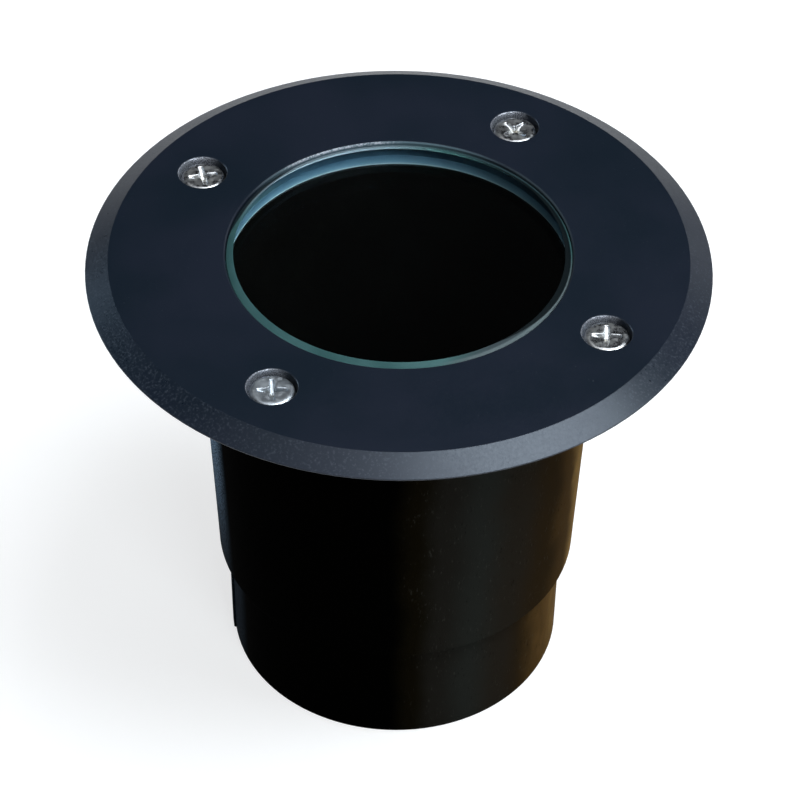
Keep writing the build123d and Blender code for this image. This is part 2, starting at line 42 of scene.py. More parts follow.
# ---------------------------------------------------------------- sizes of the solids, in millimetres
TRIM_TOP = 92.0
FLAT_RADIUS = 50.9
OPENING_RADIUS = 30.5
COUNTERBORE_RADIUS = 4.35
SCREW_CIRCLE = 41.25
SCREW_COUNT = 4
FIRST_SCREW_AZIMUTH = 59.5
SCREW_SEAT = 89.4
HEAD_HEIGHT = 1.9
LENS_TOP = TRIM_TOP
LENS_BOTTOM = 86.0
LENS_SHOULDER = 89.0
LENS_FLANGE_RADIUS = 34.2
GASKET_BOTTOM = 84.0
SLEEVE_STEP = 23.4

SCREW_AZIMUTHS = [FIRST_SCREW_AZIMUTH + 360.0 / SCREW_COUNT * n for n in range(SCREW_COUNT)]
SCREW_PLACES = [
    (SCREW_CIRCLE * math.cos(math.radians(a)), SCREW_CIRCLE * math.sin(math.radians(a)))
    for a in SCREW_AZIMUTHS
]

# ---------------------------------------------------------------- camera
PICTURE = 800
FOCAL_PIXELS = 3106.485
SENSOR = 36.0
ELEVATION = math.radians(40.28759)
YAW = math.radians(-0.04995)
PITCH = math.radians(-2.75874)
ROLL = math.radians(-0.73996)
DISTANCE = 0.54449
NEAREST_SEEN = 0.01
AIM = Vector((0.0, 0.0, TRIM_TOP * MM))


def add_camera():
    """Stands in front of AIM, raised by ELEVATION, then turned by YAW, PITCH and ROLL."""
    back = Vector((0.0, -math.cos(ELEVATION), math.sin(ELEVATION)))
    ahead, right = -back, Vector((1.0, 0.0, 0.0))
    up = right.cross(ahead)
    turn = Matrix.Rotation(YAW, 3, up)
    ahead, right = turn @ ahead, turn @ right
    turn = Matrix.Rotation(PITCH, 3, right)
    ahead, up = turn @ ahead, turn @ up
    turn = Matrix.Rotation(ROLL, 3, ahead)
    right, up = turn @ right, turn @ up
    camera = bpy.data.objects.new("camera", bpy.data.cameras.new("camera"))
    camera.data.sensor_width = SENSOR
    camera.data.lens = SENSOR * FOCAL_PIXELS / PICTURE
    camera.data.clip_start = NEAREST_SEEN
    facing = Matrix((right, up, -ahead)).transposed().to_4x4()
    camera.matrix_world = Matrix.Translation(AIM + back * DISTANCE) @ facing
    bpy.context.collection.objects.link(camera)
    bpy.context.scene.camera = camera


add_camera()


# ---------------------------------------------------------------- node graphs
class Finish:
    """A material patterned in the object's own space.

    Lengths are in millimetres. Azimuths are in degrees round the light's axis: 0 is the right,
    90 the far side, 180 the left and 270 the near side.
    """

    def __init__(self, name, roughness=0.5, metallic=0.0, **sockets):
        self.material = bpy.data.materials.new(name)
        self.material.use_nodes = True
        self.tree = self.material.node_tree
        self.shader = self.tree.nodes["Principled BSDF"]
        self.output = self.tree.nodes["Material Output"]
        self.place = self.add("ShaderNodeTexCoord").outputs["Object"]
        self.shader.inputs["Roughness"].default_value = roughness
        self.shader.inputs["Metallic"].default_value = metallic
        for socket, value in sockets.items():
            self.shader.inputs[socket.replace("_", " ")].default_value = value
        split = self.add("ShaderNodeSeparateXYZ")
        self.feed(split.inputs[0], self.scaled((1.0 / MM, 1.0 / MM, 1.0 / MM)))
        self.x, self.y, self.z = split.outputs

    def add(self, kind, **settings):
        node = self.tree.nodes.new(kind)
        for key, value in settings.items():
            setattr(node, key, value)
        return node

    def feed(self, socket, value):
        if isinstance(value, bpy.types.NodeSocket):
            self.tree.links.new(value, socket)
        else:
            socket.default_value = value

    def set(self, socket, value):
        self.feed(self.shader.inputs[socket], value)

    def scaled(self, factors):
        """The object's own space, stretched along its three axes."""
        node = self.add("ShaderNodeMapping")
        node.inputs["Scale"].default_value = factors
        self.feed(node.inputs["Vector"], self.place)
        return node.outputs["Vector"]

    def math(self, operation, first, second=0.0, clamp=False):
        node = self.add("ShaderNodeMath", operation=operation, use_clamp=clamp)
        self.feed(node.inputs[0], first)
        self.feed(node.inputs[1], second)
        return node.outputs[0]

    def times(self, first, *others):
        for other in others:
            first = self.math("MULTIPLY", first, other)
        return first

    def plus(self, first, *others):
        for other in others:
            first = self.math("ADD", first, other)
        return first

    def minus(self, first, second):
        return self.math("SUBTRACT", first, second)

    def noise(self, size, detail=2.0, stretch=None):
        """Noise with features about size across."""
        node = self.add("ShaderNodeTexNoise")
        node.inputs["Scale"].default_value = 1.0 / (size * MM)
        node.inputs["Detail"].default_value = detail
        self.feed(node.inputs["Vector"], self.scaled(stretch) if stretch else self.place)
        return node.outputs["Fac"]

    def remap(self, value, low, high, start=0.0, end=1.0):
        """Eases from start to end while value goes from low to high."""
        node = self.add("ShaderNodeMapRange", interpolation_type="SMOOTHSTEP")
        self.feed(node.inputs["Value"], value)
        for socket, number in (("From Min", low), ("From Max", high), ("To Min", start), ("To Max", end)):
            self.feed(node.inputs[socket], number)
        return node.outputs["Result"]

    def mix(self, share, first, second):
        node = self.add("ShaderNodeMix", data_type="RGBA")
        self.feed(node.inputs["Factor"], share)
        self.feed(node.inputs["A"], colour(first))
        self.feed(node.inputs["B"], colour(second))
        return node.outputs["Result"]

    def ramp(self, value, stops):
        """stops: (position, colour)."""
        node = self.add("ShaderNodeValToRGB")
        node.color_ramp.interpolation = "EASE"
        elements = node.color_ramp.elements
        for element, (position, tone) in zip(elements, (stops[0], stops[-1])):
            element.position, element.color = position, colour(tone)
        for position, tone in stops[1:-1]:
            elements.new(position).color = colour(tone)
        self.feed(node.inputs[0], value)
        return node.outputs["Color"]

    def distance(self, x=0.0, y=0.0):
        """Distance from an upright axis."""
        dx, dy = self.minus(self.x, x), self.minus(self.y, y)
        return self.math("SQRT", self.plus(self.times(dx, dx), self.times(dy, dy)))

    def facing(self, azimuth):
        """Cosine of the angle round the light's axis from azimuth."""
        a = math.radians(azimuth)
        along = self.plus(self.times(self.x, math.cos(a)), self.times(self.y, math.sin(a)))
        return self.math("DIVIDE", along, self.distance())

    def toward(self, azimuth, low, high, start=0.0, end=1.0):
        """Eases from start to end while the cosine from azimuth goes from low to high."""
        return self.remap(self.facing(azimuth), low, high, start, end)

    def relief(self, height, strength, depth, edge=0.0):
        """Bump on the shader, over edges rounded by a radius of edge."""
        bump = self.add("ShaderNodeBump")
        bump.inputs["Strength"].default_value = strength
        bump.inputs["Distance"].default_value = depth * MM
        self.feed(bump.inputs["Height"], height)
        if edge:
            rounded = self.add("ShaderNodeBevel", samples=6)
            rounded.inputs["Radius"].default_value = edge * MM
            self.feed(bump.inputs["Normal"], rounded.outputs["Normal"])
        self.feed(self.shader.inputs["Normal"], bump.outputs["Normal"])


def colour(value):
    """A tone of three parts gets its fourth. A socket passes as it is."""
    return (*value, 1.0) if isinstance(value, tuple) else value


def plain(name, tones, blotch, grain, roughness, edge=0.0, **sockets):
    """Two tones in soft blotches, a fine grain in roughness and relief."""
    f = Finish(name, **sockets)
    soft, fine = f.noise(blotch, 3.0), f.noise(grain)
    f.set("Base Color", f.mix(f.remap(soft, 0.35, 0.65), *tones))
    f.set("Roughness", f.remap(fine, 0.3, 0.7, roughness - 0.07, roughness + 0.07))
    f.relief(fine, 0.3, grain * 0.15, edge)
    return f


def worn_metal(name, tones, roughness, grain=0.15):
    """Plated or bare metal: drawn scratches, dull patches."""
    f = Finish(name, metallic=1.0)
    patch, scratch = f.noise(1.5, 4.0), f.noise(grain, 3.0, (1.0, 1.0, 12.0))
    f.set("Base Color", f.mix(f.remap(patch, 0.35, 0.7), *tones))
    rough = f.plus(f.remap(patch, 0.3, 0.7, -0.06, 0.08), f.remap(scratch, 0.3, 0.7, -0.05, 0.05))
    f.set("Roughness", f.math("ADD", rough, roughness, clamp=True))
    f.relief(scratch, 0.25, 0.02)
    return f


# ---------------------------------------------------------------- the trim ring
BARE_METAL = (0.60, 0.62, 0.68)
EDGE_TOP = TRIM_TOP - 0.25
EDGE_FOOT = TRIM_TOP - 0.6


def trim_paint():
    """Blue-black paint, flecked on the bevel and bare in places round its holes, with a painted reflection
    and painted shade on the opening's wall.
    """
    f = Finish("trim_paint", Specular_Tint=(0.82, 0.90, 1.0, 1.0), Specular_IOR_Level=0.40)
    cloud, peel, grain, coarse = f.noise(22, 3.0), f.noise(0.55), f.noise(0.16), f.noise(0.42, 3.0)
    radius = f.distance()
    slope = f.remap(radius, FLAT_RADIUS - 0.1, FLAT_RADIUS + 0.1)
    wall = f.remap(radius, OPENING_RADIUS + 0.10, OPENING_RADIUS + 0.32, 1.0, 0.0)
    flecks = f.times(slope, f.remap(coarse, 0.52, 0.70, 0.0, 0.20))
    bare = f.math("MAXIMUM", bare_edge(f, wall), bare_counterbores(f))
    f.set("Base Color", f.mix(bare, painted(f, cloud, flecks, wall), BARE_METAL))
    f.set("Metallic", bare)
    f.set("Roughness", f.plus(
        f.remap(f.plus(f.times(peel, 0.5), f.times(cloud, 0.5)), 0.3, 0.7, 0.29, 0.37),
        f.times(slope, f.remap(coarse, 0.38, 0.62, -0.025, 0.030)),
        f.times(slope, f.toward(85.0, 0.1, 0.9, 0.0, 0.08)),
        f.times(wall, f.toward(60.0, -0.2, 0.5, 0.0, 0.5)),
    ))
    f.relief(f.plus(f.times(peel, 0.6), f.times(grain, 0.4)), 0.20, 0.05, edge=0.18)
    return f


def painted(f, cloud, flecks, wall):
    """The paint's tones, with a painted reflection of the glass on the opening's wall at the far side and
    painted shade on that wall at the right.
    """
    blue_black, slate = (0.0044, 0.0082, 0.0140), (0.0066, 0.0094, 0.0172)
    dust, fleck = (0.10, 0.12, 0.14), (0.085, 0.100, 0.125)
    far_wall_reflection, right_wall_shade = (0.062, 0.100, 0.118), (0.020, 0.030, 0.036)
    paint = f.mix(f.remap(cloud, 0.3, 0.7), blue_black, slate)
    paint = f.mix(f.remap(f.noise(0.35, 1.0), 0.765, 0.80, 0.0, 0.4), paint, dust)
    paint = f.mix(flecks, paint, fleck)
    # Painted reflection on the opening's wall at the far side, then painted shade on it at the right.
    paint = f.mix(f.times(wall, f.toward(100.0, 0.62, 0.97)), paint, far_wall_reflection)
    return f.mix(f.times(wall, f.toward(28.0, 0.88, 0.98)), paint, right_wall_shade)


def bare_edge(f, wall):
    """How bare the top edge of the opening is: chipped at the far left."""
    high = f.remap(f.z, EDGE_FOOT, EDGE_TOP)
    chips = f.remap(f.noise(0.4, 4.0), 0.38, 0.60, 0.10, 1.0)
    return f.times(wall, high, chips, f.toward(112.0, 0.915, 0.990, 0.0, 0.8))


def bare_counterbores(f):
    """How bare the walls round the screws are: more so at the far left of each."""
    bare = 0.0
    thin = f.remap(f.noise(0.20), 0.40, 0.62, 0.15, 1.0)
    for x, y in SCREW_PLACES:
        far_left = f.minus(f.minus(f.y, y), f.minus(f.x, x))
        worn = f.times(thin, f.remap(far_left, 0.5, 5.2, 0.03, 1.0))
        bored = f.remap(f.distance(x, y), COUNTERBORE_RADIUS + 0.02, COUNTERBORE_RADIUS + 0.16, 1.0, 0.0)
        bare = f.math("MAXIMUM", bare, f.times(bored, worn))
    return bare


# ---------------------------------------------------------------- the sleeve
# Tones round the sleeve from the front to the right rim: partly a soil stain, partly painted reflection. The
# grey-green band in the middle and the amber at the rim are painted reflections.
SOIL_AND_REFLECTION_FILM = (
    (0.0, (0.0005, 0.0005, 0.0004)),
    (0.14, (0.0052, 0.0040, 0.0018)),
    (0.28, (0.0125, 0.0115, 0.0092)),
    (0.47, (0.0165, 0.0175, 0.0150)),
    (0.66, (0.0160, 0.0130, 0.0092)),
    (0.84, (0.0185, 0.0112, 0.0045)),
    (0.94, (0.0440, 0.0240, 0.0075)),
    (1.0, (0.1800, 0.1050, 0.0320)),
)
# Heights of the painted rim highlight down the left edge, and of the painted highlight on the head of the
# pad.
RIM_HIGHLIGHT_FOOT = 22.0
RIM_HIGHLIGHT_TOP = 62.0
PAD_HEAD_FOOT = 18.5
PAD_HEAD_TOP = 21.5


def sleeve_plastic():
    """Black grained moulding, with soil and a painted reflection on its right and a painted rim highlight on
    its left edge.
    """
    f = Finish("sleeve_plastic", Specular_IOR_Level=0.0004)
    grain = f.noise(0.25, 3.0)
    side = f.plus(f.facing(0.0), f.remap(f.noise(14, 3.0), 0.3, 0.7, 0.01, 0.05))
    tone = specked(f, side, soil_and_reflection(f, side))
    f.set("Base Color", left_rim_highlight(f, grain, tone))
    f.set("Roughness", f.remap(grain, 0.3, 0.7, 0.40, 0.56))
    f.relief(grain, 0.35, 0.08, edge=0.15)
    return f


def soil_and_reflection(f, side):
    """Soil stain and painted reflection, from none at the front to brown on the right, browner still at the
    right rim below the step.
    """
    # Patchy brown at the right rim below the step: partly soil, partly painted reflection.
    soil_and_rim_reflection = (0.095, 0.052, 0.016)
    low = f.remap(f.z, SLEEVE_STEP - 0.8, SLEEVE_STEP - 0.1, 1.0, 0.0)
    patchy = f.remap(f.noise(2.2, 4.0, (1.0, 1.0, 0.4)), 0.3, 0.65, 0.55, 1.0)
    soil_and_rim_share = f.times(low, f.remap(side, 0.76, 0.97, 0.0, 0.85), patchy)
    return f.mix(soil_and_rim_share, f.ramp(side, SOIL_AND_REFLECTION_FILM), soil_and_rim_reflection)


def specked(f, side, tone):
    """Pale and dark specks in patches over the right half."""
    pale, dark = (0.050, 0.047, 0.040), (0.003, 0.003, 0.002)
    speck = f.noise(0.38, 3.0, (1.0, 1.0, 0.30))
    patches = f.times(f.remap(side, 0.04, 0.16), f.remap(f.noise(3.5, 3.0), 0.38, 0.60))
    tone = f.mix(f.times(patches, f.remap(speck, 0.60, 0.72, 0.0, 0.4)), tone, pale)
    return f.mix(f.times(patches, f.remap(speck, 0.38, 0.26, 0.0, 0.7)), tone, dark)


def left_rim_highlight(f, grain, tone):
    """A speckled painted rim highlight down the left edge, fading to the step, and a painted highlight on the
    head of the pad.
    """
    # A pale blue painted rim highlight.
    rim_highlight_tone = (0.24, 0.34, 0.45)
    fading = f.remap(f.z, RIM_HIGHLIGHT_FOOT, RIM_HIGHLIGHT_TOP, 0.10, 1.0)
    below_step = f.remap(f.z, SLEEVE_STEP - 0.2, SLEEVE_STEP, 1.0, 0.0)
    pad_head = f.times(f.remap(f.z, PAD_HEAD_FOOT, PAD_HEAD_TOP), below_step)
    speckled = f.remap(grain, 0.40, 0.58, 0.10, 1.0)
    left = f.toward(188.0, 0.945, 0.990)
    return f.mix(f.times(left, f.math("MAXIMUM", fading, pad_head), speckled), tone, rim_highlight_tone)


# ---------------------------------------------------------------- finishes of the glass and its gasket
# Azimuth and radii of the bevel's painted light: the near right, the inner painted shade at the left and at
# the right, the pale painted highlight rim, and the painted shade beside the gap.
NEAR_RIGHT = -38.0
INNER_SHADE_TO_LEFT, INNER_SHADE_TO_RIGHT = 29.0, 30.1
HIGHLIGHT_RIM_INNER, HIGHLIGHT_RIM_OUTER = 29.55, 29.85
SHADE_FROM_OUTER, SHADE_FROM_INNER = 30.15, 29.45


def clear_glass():
    """Clear glass, faintly green, with a little dust. Lamp rays pass it straight."""
    f = Finish("clear_glass", IOR=1.5, Transmission_Weight=1.0)
    f.set("Roughness", f.remap(f.noise(0.8, 3.0), 0.55, 0.80, 0.0, 0.05))
    f.set("Base Color", f.mix(f.remap(f.noise(20), 0.4, 0.6), (0.93, 0.985, 0.975), (0.95, 0.99, 0.98)))
    lamp_rays = f.add("ShaderNodeLightPath").outputs["Is Shadow Ray"]
    through = f.add("ShaderNodeBsdfTransparent")
    through.inputs["Color"].default_value = (0.86, 0.93, 0.92, 1.0)
    join = f.add("ShaderNodeMixShader")
    f.feed(join.inputs[0], lamp_rays)
    f.feed(join.inputs[1], f.shader.outputs[0])
    f.feed(join.inputs[2], through.outputs[0])
    f.feed(f.output.inputs["Surface"], join.outputs[0])
    return f


def frosting(f, gain):
    """Frosted teal, whiter at the far left as a painted highlight. The gain brightens all the tones."""
    tones = ((0.028, 0.074, 0.074), (0.044, 0.102, 0.102), (0.145, 0.188, 0.217))
    low, high, white = (tuple(gain * part for part in tone) for tone in tones)
    tone = f.mix(f.remap(f.noise(9, 3.0), 0.35, 0.65), low, high)
    # Painted highlight: whiter towards the far left.
    return f.mix(f.toward(120.0, 0.68, 0.97), tone, white)


def roughen(f):
    grit = f.noise(0.12)
    f.set("Roughness", f.remap(grit, 0.3, 0.7, 0.45, 0.65))
    f.relief(grit, 0.35, 0.05)


def ground_bevel():
    """Frosted bevel, greyer at the near right as painted shade with a thin pale painted highlight rim there,
    painted shade at the far right and over its inner part at the right, and painted shade beside the gap at
    the left.
    """
    f = Finish("ground_bevel", Specular_IOR_Level=0.05)
    # Tones of painted light: a grey painted shade for the near right, a pale painted highlight, and painted
    # shade for the far right, the inner part and beside the gap.
    near_right_shade, pale, far_right_shade = (0.030, 0.042, 0.047), (0.086, 0.110, 0.115), (0.020, 0.040, 0.045)
    inner_shade_tone, shaded = (0.0025, 0.0050, 0.0060), (0.006, 0.010, 0.013)
    radius = f.distance()
    tone = f.mix(f.toward(NEAR_RIGHT, 0.78, 0.96), frosting(f, 1.0), near_right_shade)
    rim = f.times(f.toward(NEAR_RIGHT, 0.74, 0.96), f.remap(radius, HIGHLIGHT_RIM_INNER, HIGHLIGHT_RIM_OUTER))
    tone = f.mix(rim, tone, pale)
    tone = f.mix(f.toward(42.0, 0.82, 0.96), tone, far_right_shade)
    # Painted shade over the bevel's inner part, out to most of its width at the right.
    inner_shade_to = f.toward(3.0, 0.42, 0.99, INNER_SHADE_TO_LEFT, INNER_SHADE_TO_RIGHT)
    tone = f.mix(f.remap(f.minus(radius, inner_shade_to), -0.10, 0.12, 1.0, 0.0), tone, inner_shade_tone)
    shade_from = f.toward(149.0, 0.92, 0.985, SHADE_FROM_OUTER, SHADE_FROM_INNER)
    shade = f.remap(f.minus(radius, shade_from), 0.0, 0.22, 0.0, 0.92)
    f.set("Base Color", f.mix(f.times(shade, f.toward(180.0, 0.35, 0.75)), tone, shaded))
    roughen(f)
    return f


def ground_wall():
    """The frosted edge of the glass, its tones brightened threefold as painted light, with painted shade on
    its right.
    """
    f = Finish("ground_wall", Specular_IOR_Level=0.12)
    right_shade = (0.019, 0.035, 0.042)
    # The frosting's gain of 3.2 is painted light; the darker tone on the right is painted shade.
    f.set("Base Color", f.mix(f.toward(8.0, 0.30, 0.80, 0.0, 0.95), frosting(f, 3.2), right_shade))
    roughen(f)
    return f


def silicone():
    """Pale blue silicone, lighter towards the bottom of its bore, with a painted highlight along its bottom
    edge, a painted highlight on its lip at the far left and painted shade on its right.
    """
    f = Finish("silicone", IOR=1.42)
    blue, light_blue = (0.048, 0.110, 0.180), (0.066, 0.142, 0.220)
    low_bore, edge_highlight = (0.135, 0.255, 0.350), (0.42, 0.53, 0.58)
    left_lip_highlight, dim_right = (0.110, 0.205, 0.245), (0.016, 0.034, 0.042)
    fine, above = f.noise(0.25), f.minus(f.z, GASKET_BOTTOM)
    tone = f.mix(f.remap(f.noise(5, 3.0), 0.35, 0.65), blue, light_blue)
    tone = f.mix(f.remap(above, 0.3, 1.9, 1.0, 0.0), tone, low_bore)
    # Painted highlight along the bottom edge.
    tone = f.mix(f.remap(above, 0.15, 0.45, 0.8, 0.0), tone, edge_highlight)
    # Painted highlight on the top of the lip at the far left.
    lip = f.times(f.remap(above, 1.7, 1.9, 0.0, 0.8), f.toward(158.0, 0.88, 0.98))
    tone = f.mix(lip, tone, left_lip_highlight)
    # Painted shade on the right.
    f.set("Base Color", f.mix(f.toward(8.0, 0.1, 0.9, 0.0, 0.72), tone, dim_right))
    f.set("Roughness", f.remap(fine, 0.3, 0.7, 0.35, 0.5))
    f.relief(fine, 0.25, 0.04)
    return f


# ---------------------------------------------------------------- the screws' finish
HEAD_TOP = SCREW_SEAT + HEAD_HEIGHT
DULL_SCREW_AZIMUTH = SCREW_AZIMUTHS[2]


def stainless():
    """Brushed heads, with grime in the recess, and one duller screw at the near left."""
    f = Finish("stainless", metallic=1.0)
    dark_steel, steel, dull_steel = (0.46, 0.47, 0.49), (0.70, 0.70, 0.69), (0.34, 0.38, 0.42)
    brown_grime = (0.16, 0.13, 0.06)
    patch, scratch = f.noise(0.9, 4.0), f.noise(0.12, 3.0, (1.0, 0.35, 1.0))
    deep = f.remap(f.z, HEAD_TOP - 1.1, HEAD_TOP - 0.4, 1.0, 0.0)
    grime = f.times(deep, f.remap(f.noise(0.5, 3.0), 0.45, 0.6, 0.0, 0.7))
    dull = f.toward(DULL_SCREW_AZIMUTH, 0.7, 0.9)
    metal = f.mix(f.remap(patch, 0.35, 0.7), dark_steel, steel)
    metal = f.mix(f.times(dull, 0.7), metal, dull_steel)
    f.set("Base Color", f.mix(grime, metal, brown_grime))
    rough = f.plus(f.remap(patch, 0.3, 0.7, 0.24, 0.40), f.remap(scratch, 0.3, 0.7, -0.05, 0.06))
    rough = f.plus(rough, f.times(dull, 0.12))
    f.set("Roughness", f.math("ADD", rough, f.times(grime, 0.3), clamp=True))
    f.relief(scratch, 0.22, 0.02)
    return f


# ---------------------------------------------------------------- a finish for each node of the solids
BLACK_PAINT = (0.0006, 0.0006, 0.0005), (0.0012, 0.0012, 0.0010)
WHITE_NYLON = (0.50, 0.50, 0.46), (0.62, 0.61, 0.56)
RED_NYLON = (0.42, 0.030, 0.024), (0.60, 0.060, 0.045)
BLACK_NYLON = (0.009, 0.009, 0.010), (0.018, 0.018, 0.018)
RUBBER = (0.012, 0.012, 0.012), (0.024, 0.023, 0.022)
CERAMIC = (0.74, 0.71, 0.64), (0.84, 0.82, 0.76)
INSULATOR = (0.46, 0.36, 0.22), (0.64, 0.54, 0.38)
BROWN_SILICONE = (0.14, 0.050, 0.018), (0.22, 0.085, 0.032)
BLUE_SILICONE = (0.030, 0.10, 0.33), (0.055, 0.15, 0.43)
CONTACT_BRASS = (0.62, 0.44, 0.18), (0.84, 0.66, 0.34)
EARTH_BRASS = (0.60, 0.44, 0.20), (0.82, 0.66, 0.36)
BRIGHT_ZINC = (0.50, 0.53, 0.56), (0.68, 0.70, 0.72)
GREY_ZINC = (0.46, 0.49, 0.52), (0.66, 0.69, 0.72)

finishes = {
    "trim_ring": trim_paint(),
    "mounting_sleeve": sleeve_plastic(),
    "housing": plain("housing_paint", BLACK_PAINT, 9, 0.3, 0.62, Specular_IOR_Level=0.03),
    "trim_screws": stainless(),
    "trim_screw_washers": plain("washer_nylon", WHITE_NYLON, 2, 0.2, 0.5),
    "lens_gasket": silicone(),
    "lampholder_body": plain("ceramic", CERAMIC, 4, 0.22, 0.7),
    "lampholder_backplate": plain("insulator", INSULATOR, 1.2, 0.3, 0.6),
    "lampholder_contacts": worn_metal("contact_brass", CONTACT_BRASS, 0.3),
    "lampholder_screws": worn_metal("zinc_screws", BRIGHT_ZINC, 0.3),
    "lampholder_bracket": worn_metal("zinc_sheet", GREY_ZINC, 0.36, grain=0.3),
    "bracket_screws": worn_metal("zinc_fixings", BRIGHT_ZINC, 0.3),
    "live_lead": plain("silicone_brown", BROWN_SILICONE, 3, 0.2, 0.5),
    "neutral_lead": plain("silicone_blue", BLUE_SILICONE, 3, 0.2, 0.5),
    "lead_crimps": plain("crimp_nylon", RED_NYLON, 2, 0.2, 0.35),
    "earth_lug": worn_metal("lug_brass", EARTH_BRASS, 0.32),
    "earth_washer": worn_metal("washer_steel", GREY_ZINC, 0.34),
    "earth_screw": worn_metal("earth_brass", EARTH_BRASS, 0.30),
    "gland_body": plain("gland_nylon", BLACK_NYLON, 4, 0.2, 0.45),
    "gland_locknut": plain("locknut_nylon", BLACK_NYLON, 4, 0.2, 0.45),
    "gland_nut": plain("nut_nylon", BLACK_NYLON, 4, 0.2, 0.45, edge=0.2),
    "gland_gasket": plain("gasket_rubber", RUBBER, 3, 0.3, 0.7),
    "gland_seal": plain("seal_rubber", RUBBER, 3, 0.3, 0.7),
}
for node, finish in finishes.items():
    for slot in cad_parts[node].material_slots:
        slot.material = finish.material


# ---------------------------------------------------------------- the glass
LENS_RADIUS = 30.42
LENS_STEP_RADIUS = 30.2
LENS_STEP = 89.6
BEVEL_WIDTH = 1.34
BEVEL_DEPTH = 0.7
FACE_EASE, FACE_DROP = 0.14, 0.04
EDGE_EASE, EDGE_DROP = 0.08, 0.06
SHOULDER_EASE = 0.2
FLANGE_EASE = 0.25
SEGMENTS = 256
CREASE = math.radians(12)
CLEAR, GROUND, WALL = 0, 1, 2


def circle(mesh, radius, height):
    """SEGMENTS points round the axis, or one point on it that many times."""
    if radius == 0.0:
        return [mesh.verts.new((0.0, 0.0, height * MM))] * SEGMENTS
    points = []
    for n in range(SEGMENTS):
        a = math.tau * n / SEGMENTS
        points.append(mesh.verts.new((radius * MM * math.cos(a), radius * MM * math.sin(a), height * MM)))
    return points


def revolve(name, rows, materials):
    """rows: (radius, height, material of the band that follows)."""
    mesh = bmesh.new()
    circles = [circle(mesh, radius, height) for radius, height, _ in rows]
    for low, high, (_, _, index) in zip(circles, circles[1:], rows):
        for n in range(SEGMENTS):
            m = (n + 1) % SEGMENTS
            corners = dict.fromkeys((low[n], high[n], high[m], low[m]))
            face = mesh.faces.new(tuple(corners))
            face.material_index = index
            face.smooth = True
    bmesh.ops.recalc_face_normals(mesh, faces=mesh.faces)
    for edge in mesh.edges:
        if edge.is_manifold and edge.calc_face_angle(0.0) > CREASE:
            edge.smooth = False
    data = bpy.data.meshes.new(name)
    mesh.to_mesh(data)
    mesh.free()
    for finish in materials:
        data.materials.append(finish.material)
    piece = bpy.data.objects.new(name, data)
    bpy.context.collection.objects.link(piece)
    return piece


def lens_rows():
    """Half section: from the middle of the face, over the bevel and the flange, to the middle of the back."""
    face_radius = LENS_RADIUS - BEVEL_WIDTH
    bevel_foot = LENS_TOP - BEVEL_DEPTH
    return [
        (0.0, LENS_TOP, CLEAR),
        (face_radius * 0.5, LENS_TOP, CLEAR),
        (face_radius, LENS_TOP, GROUND),
        (face_radius + FACE_EASE, LENS_TOP - FACE_DROP, GROUND),
        (LENS_RADIUS - EDGE_EASE, bevel_foot + FACE_DROP, GROUND),
        (LENS_RADIUS, bevel_foot - EDGE_DROP, WALL),
        (LENS_RADIUS, LENS_STEP + LENS_RADIUS - LENS_STEP_RADIUS, WALL),
        (LENS_STEP_RADIUS, LENS_STEP, WALL),
        (LENS_STEP_RADIUS, LENS_SHOULDER + SHOULDER_EASE, WALL),
        (LENS_STEP_RADIUS + SHOULDER_EASE, LENS_SHOULDER, CLEAR),
        (LENS_FLANGE_RADIUS - FLANGE_EASE, LENS_SHOULDER, CLEAR),
        (LENS_FLANGE_RADIUS, LENS_SHOULDER - FLANGE_EASE, CLEAR),
        (LENS_FLANGE_RADIUS, LENS_BOTTOM + FLANGE_EASE, CLEAR),
        (LENS_FLANGE_RADIUS - FLANGE_EASE, LENS_BOTTOM, CLEAR),
        (LENS_RADIUS * 0.5, LENS_BOTTOM, CLEAR),
        (0.0, LENS_BOTTOM, CLEAR),
    ]


glass = revolve("lens_glass", lens_rows(), (clear_glass(), ground_bevel(), ground_wall()))
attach(glass, "glass")
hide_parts("lens")


# ---------------------------------------------------------------- the trim screws
SCREW_TURNS = (45.0, 14.0, 3.0, -3.0)
HEAD_RADIUS = 3.9
HEAD_EDGE = 1.15
HEAD_FLAT = 0.78
HEAD_ROUNDING = 2.2
HEAD_CHAMFER = 0.12
RECESS_REACH = 2.6
RECESS_DEPTH = 1.25
RECESS_HALF_WIDTH = 0.52
RECESS_TAPER = 0.18
RECESS_RISE = 0.88
RECESS_WALL = 0.22
RECESS_END = 0.12
RECESS_CORE = 0.95
CORE_DEEPER = 1.1
CORE_CURVE = 0.7
SHANK_RADIUS = 1.95
SHANK_TIP = 0.9
SHANK_TIP_NARROWING = 0.45
THREAD_PITCH = 0.7
THREAD_DEPTH = 0.35
SCREW_LENGTH = 7.4
AROUND = 144
CROWN_START = 0.03
CROWN_STEP = 0.05
RIM_STEP = 0.065
STEPS_PER_TURN = 8


def head_height(radius):
    """Flat crown with a rounded edge."""
    share = (radius / HEAD_RADIUS - HEAD_FLAT) / (1.0 - HEAD_FLAT)
    if share <= 0.0:
        return HEAD_HEIGHT
    fall = max(0.0, 1.0 - min(1.0, share) ** HEAD_ROUNDING)
    return HEAD_EDGE + (HEAD_HEIGHT - HEAD_EDGE) * math.sqrt(fall)


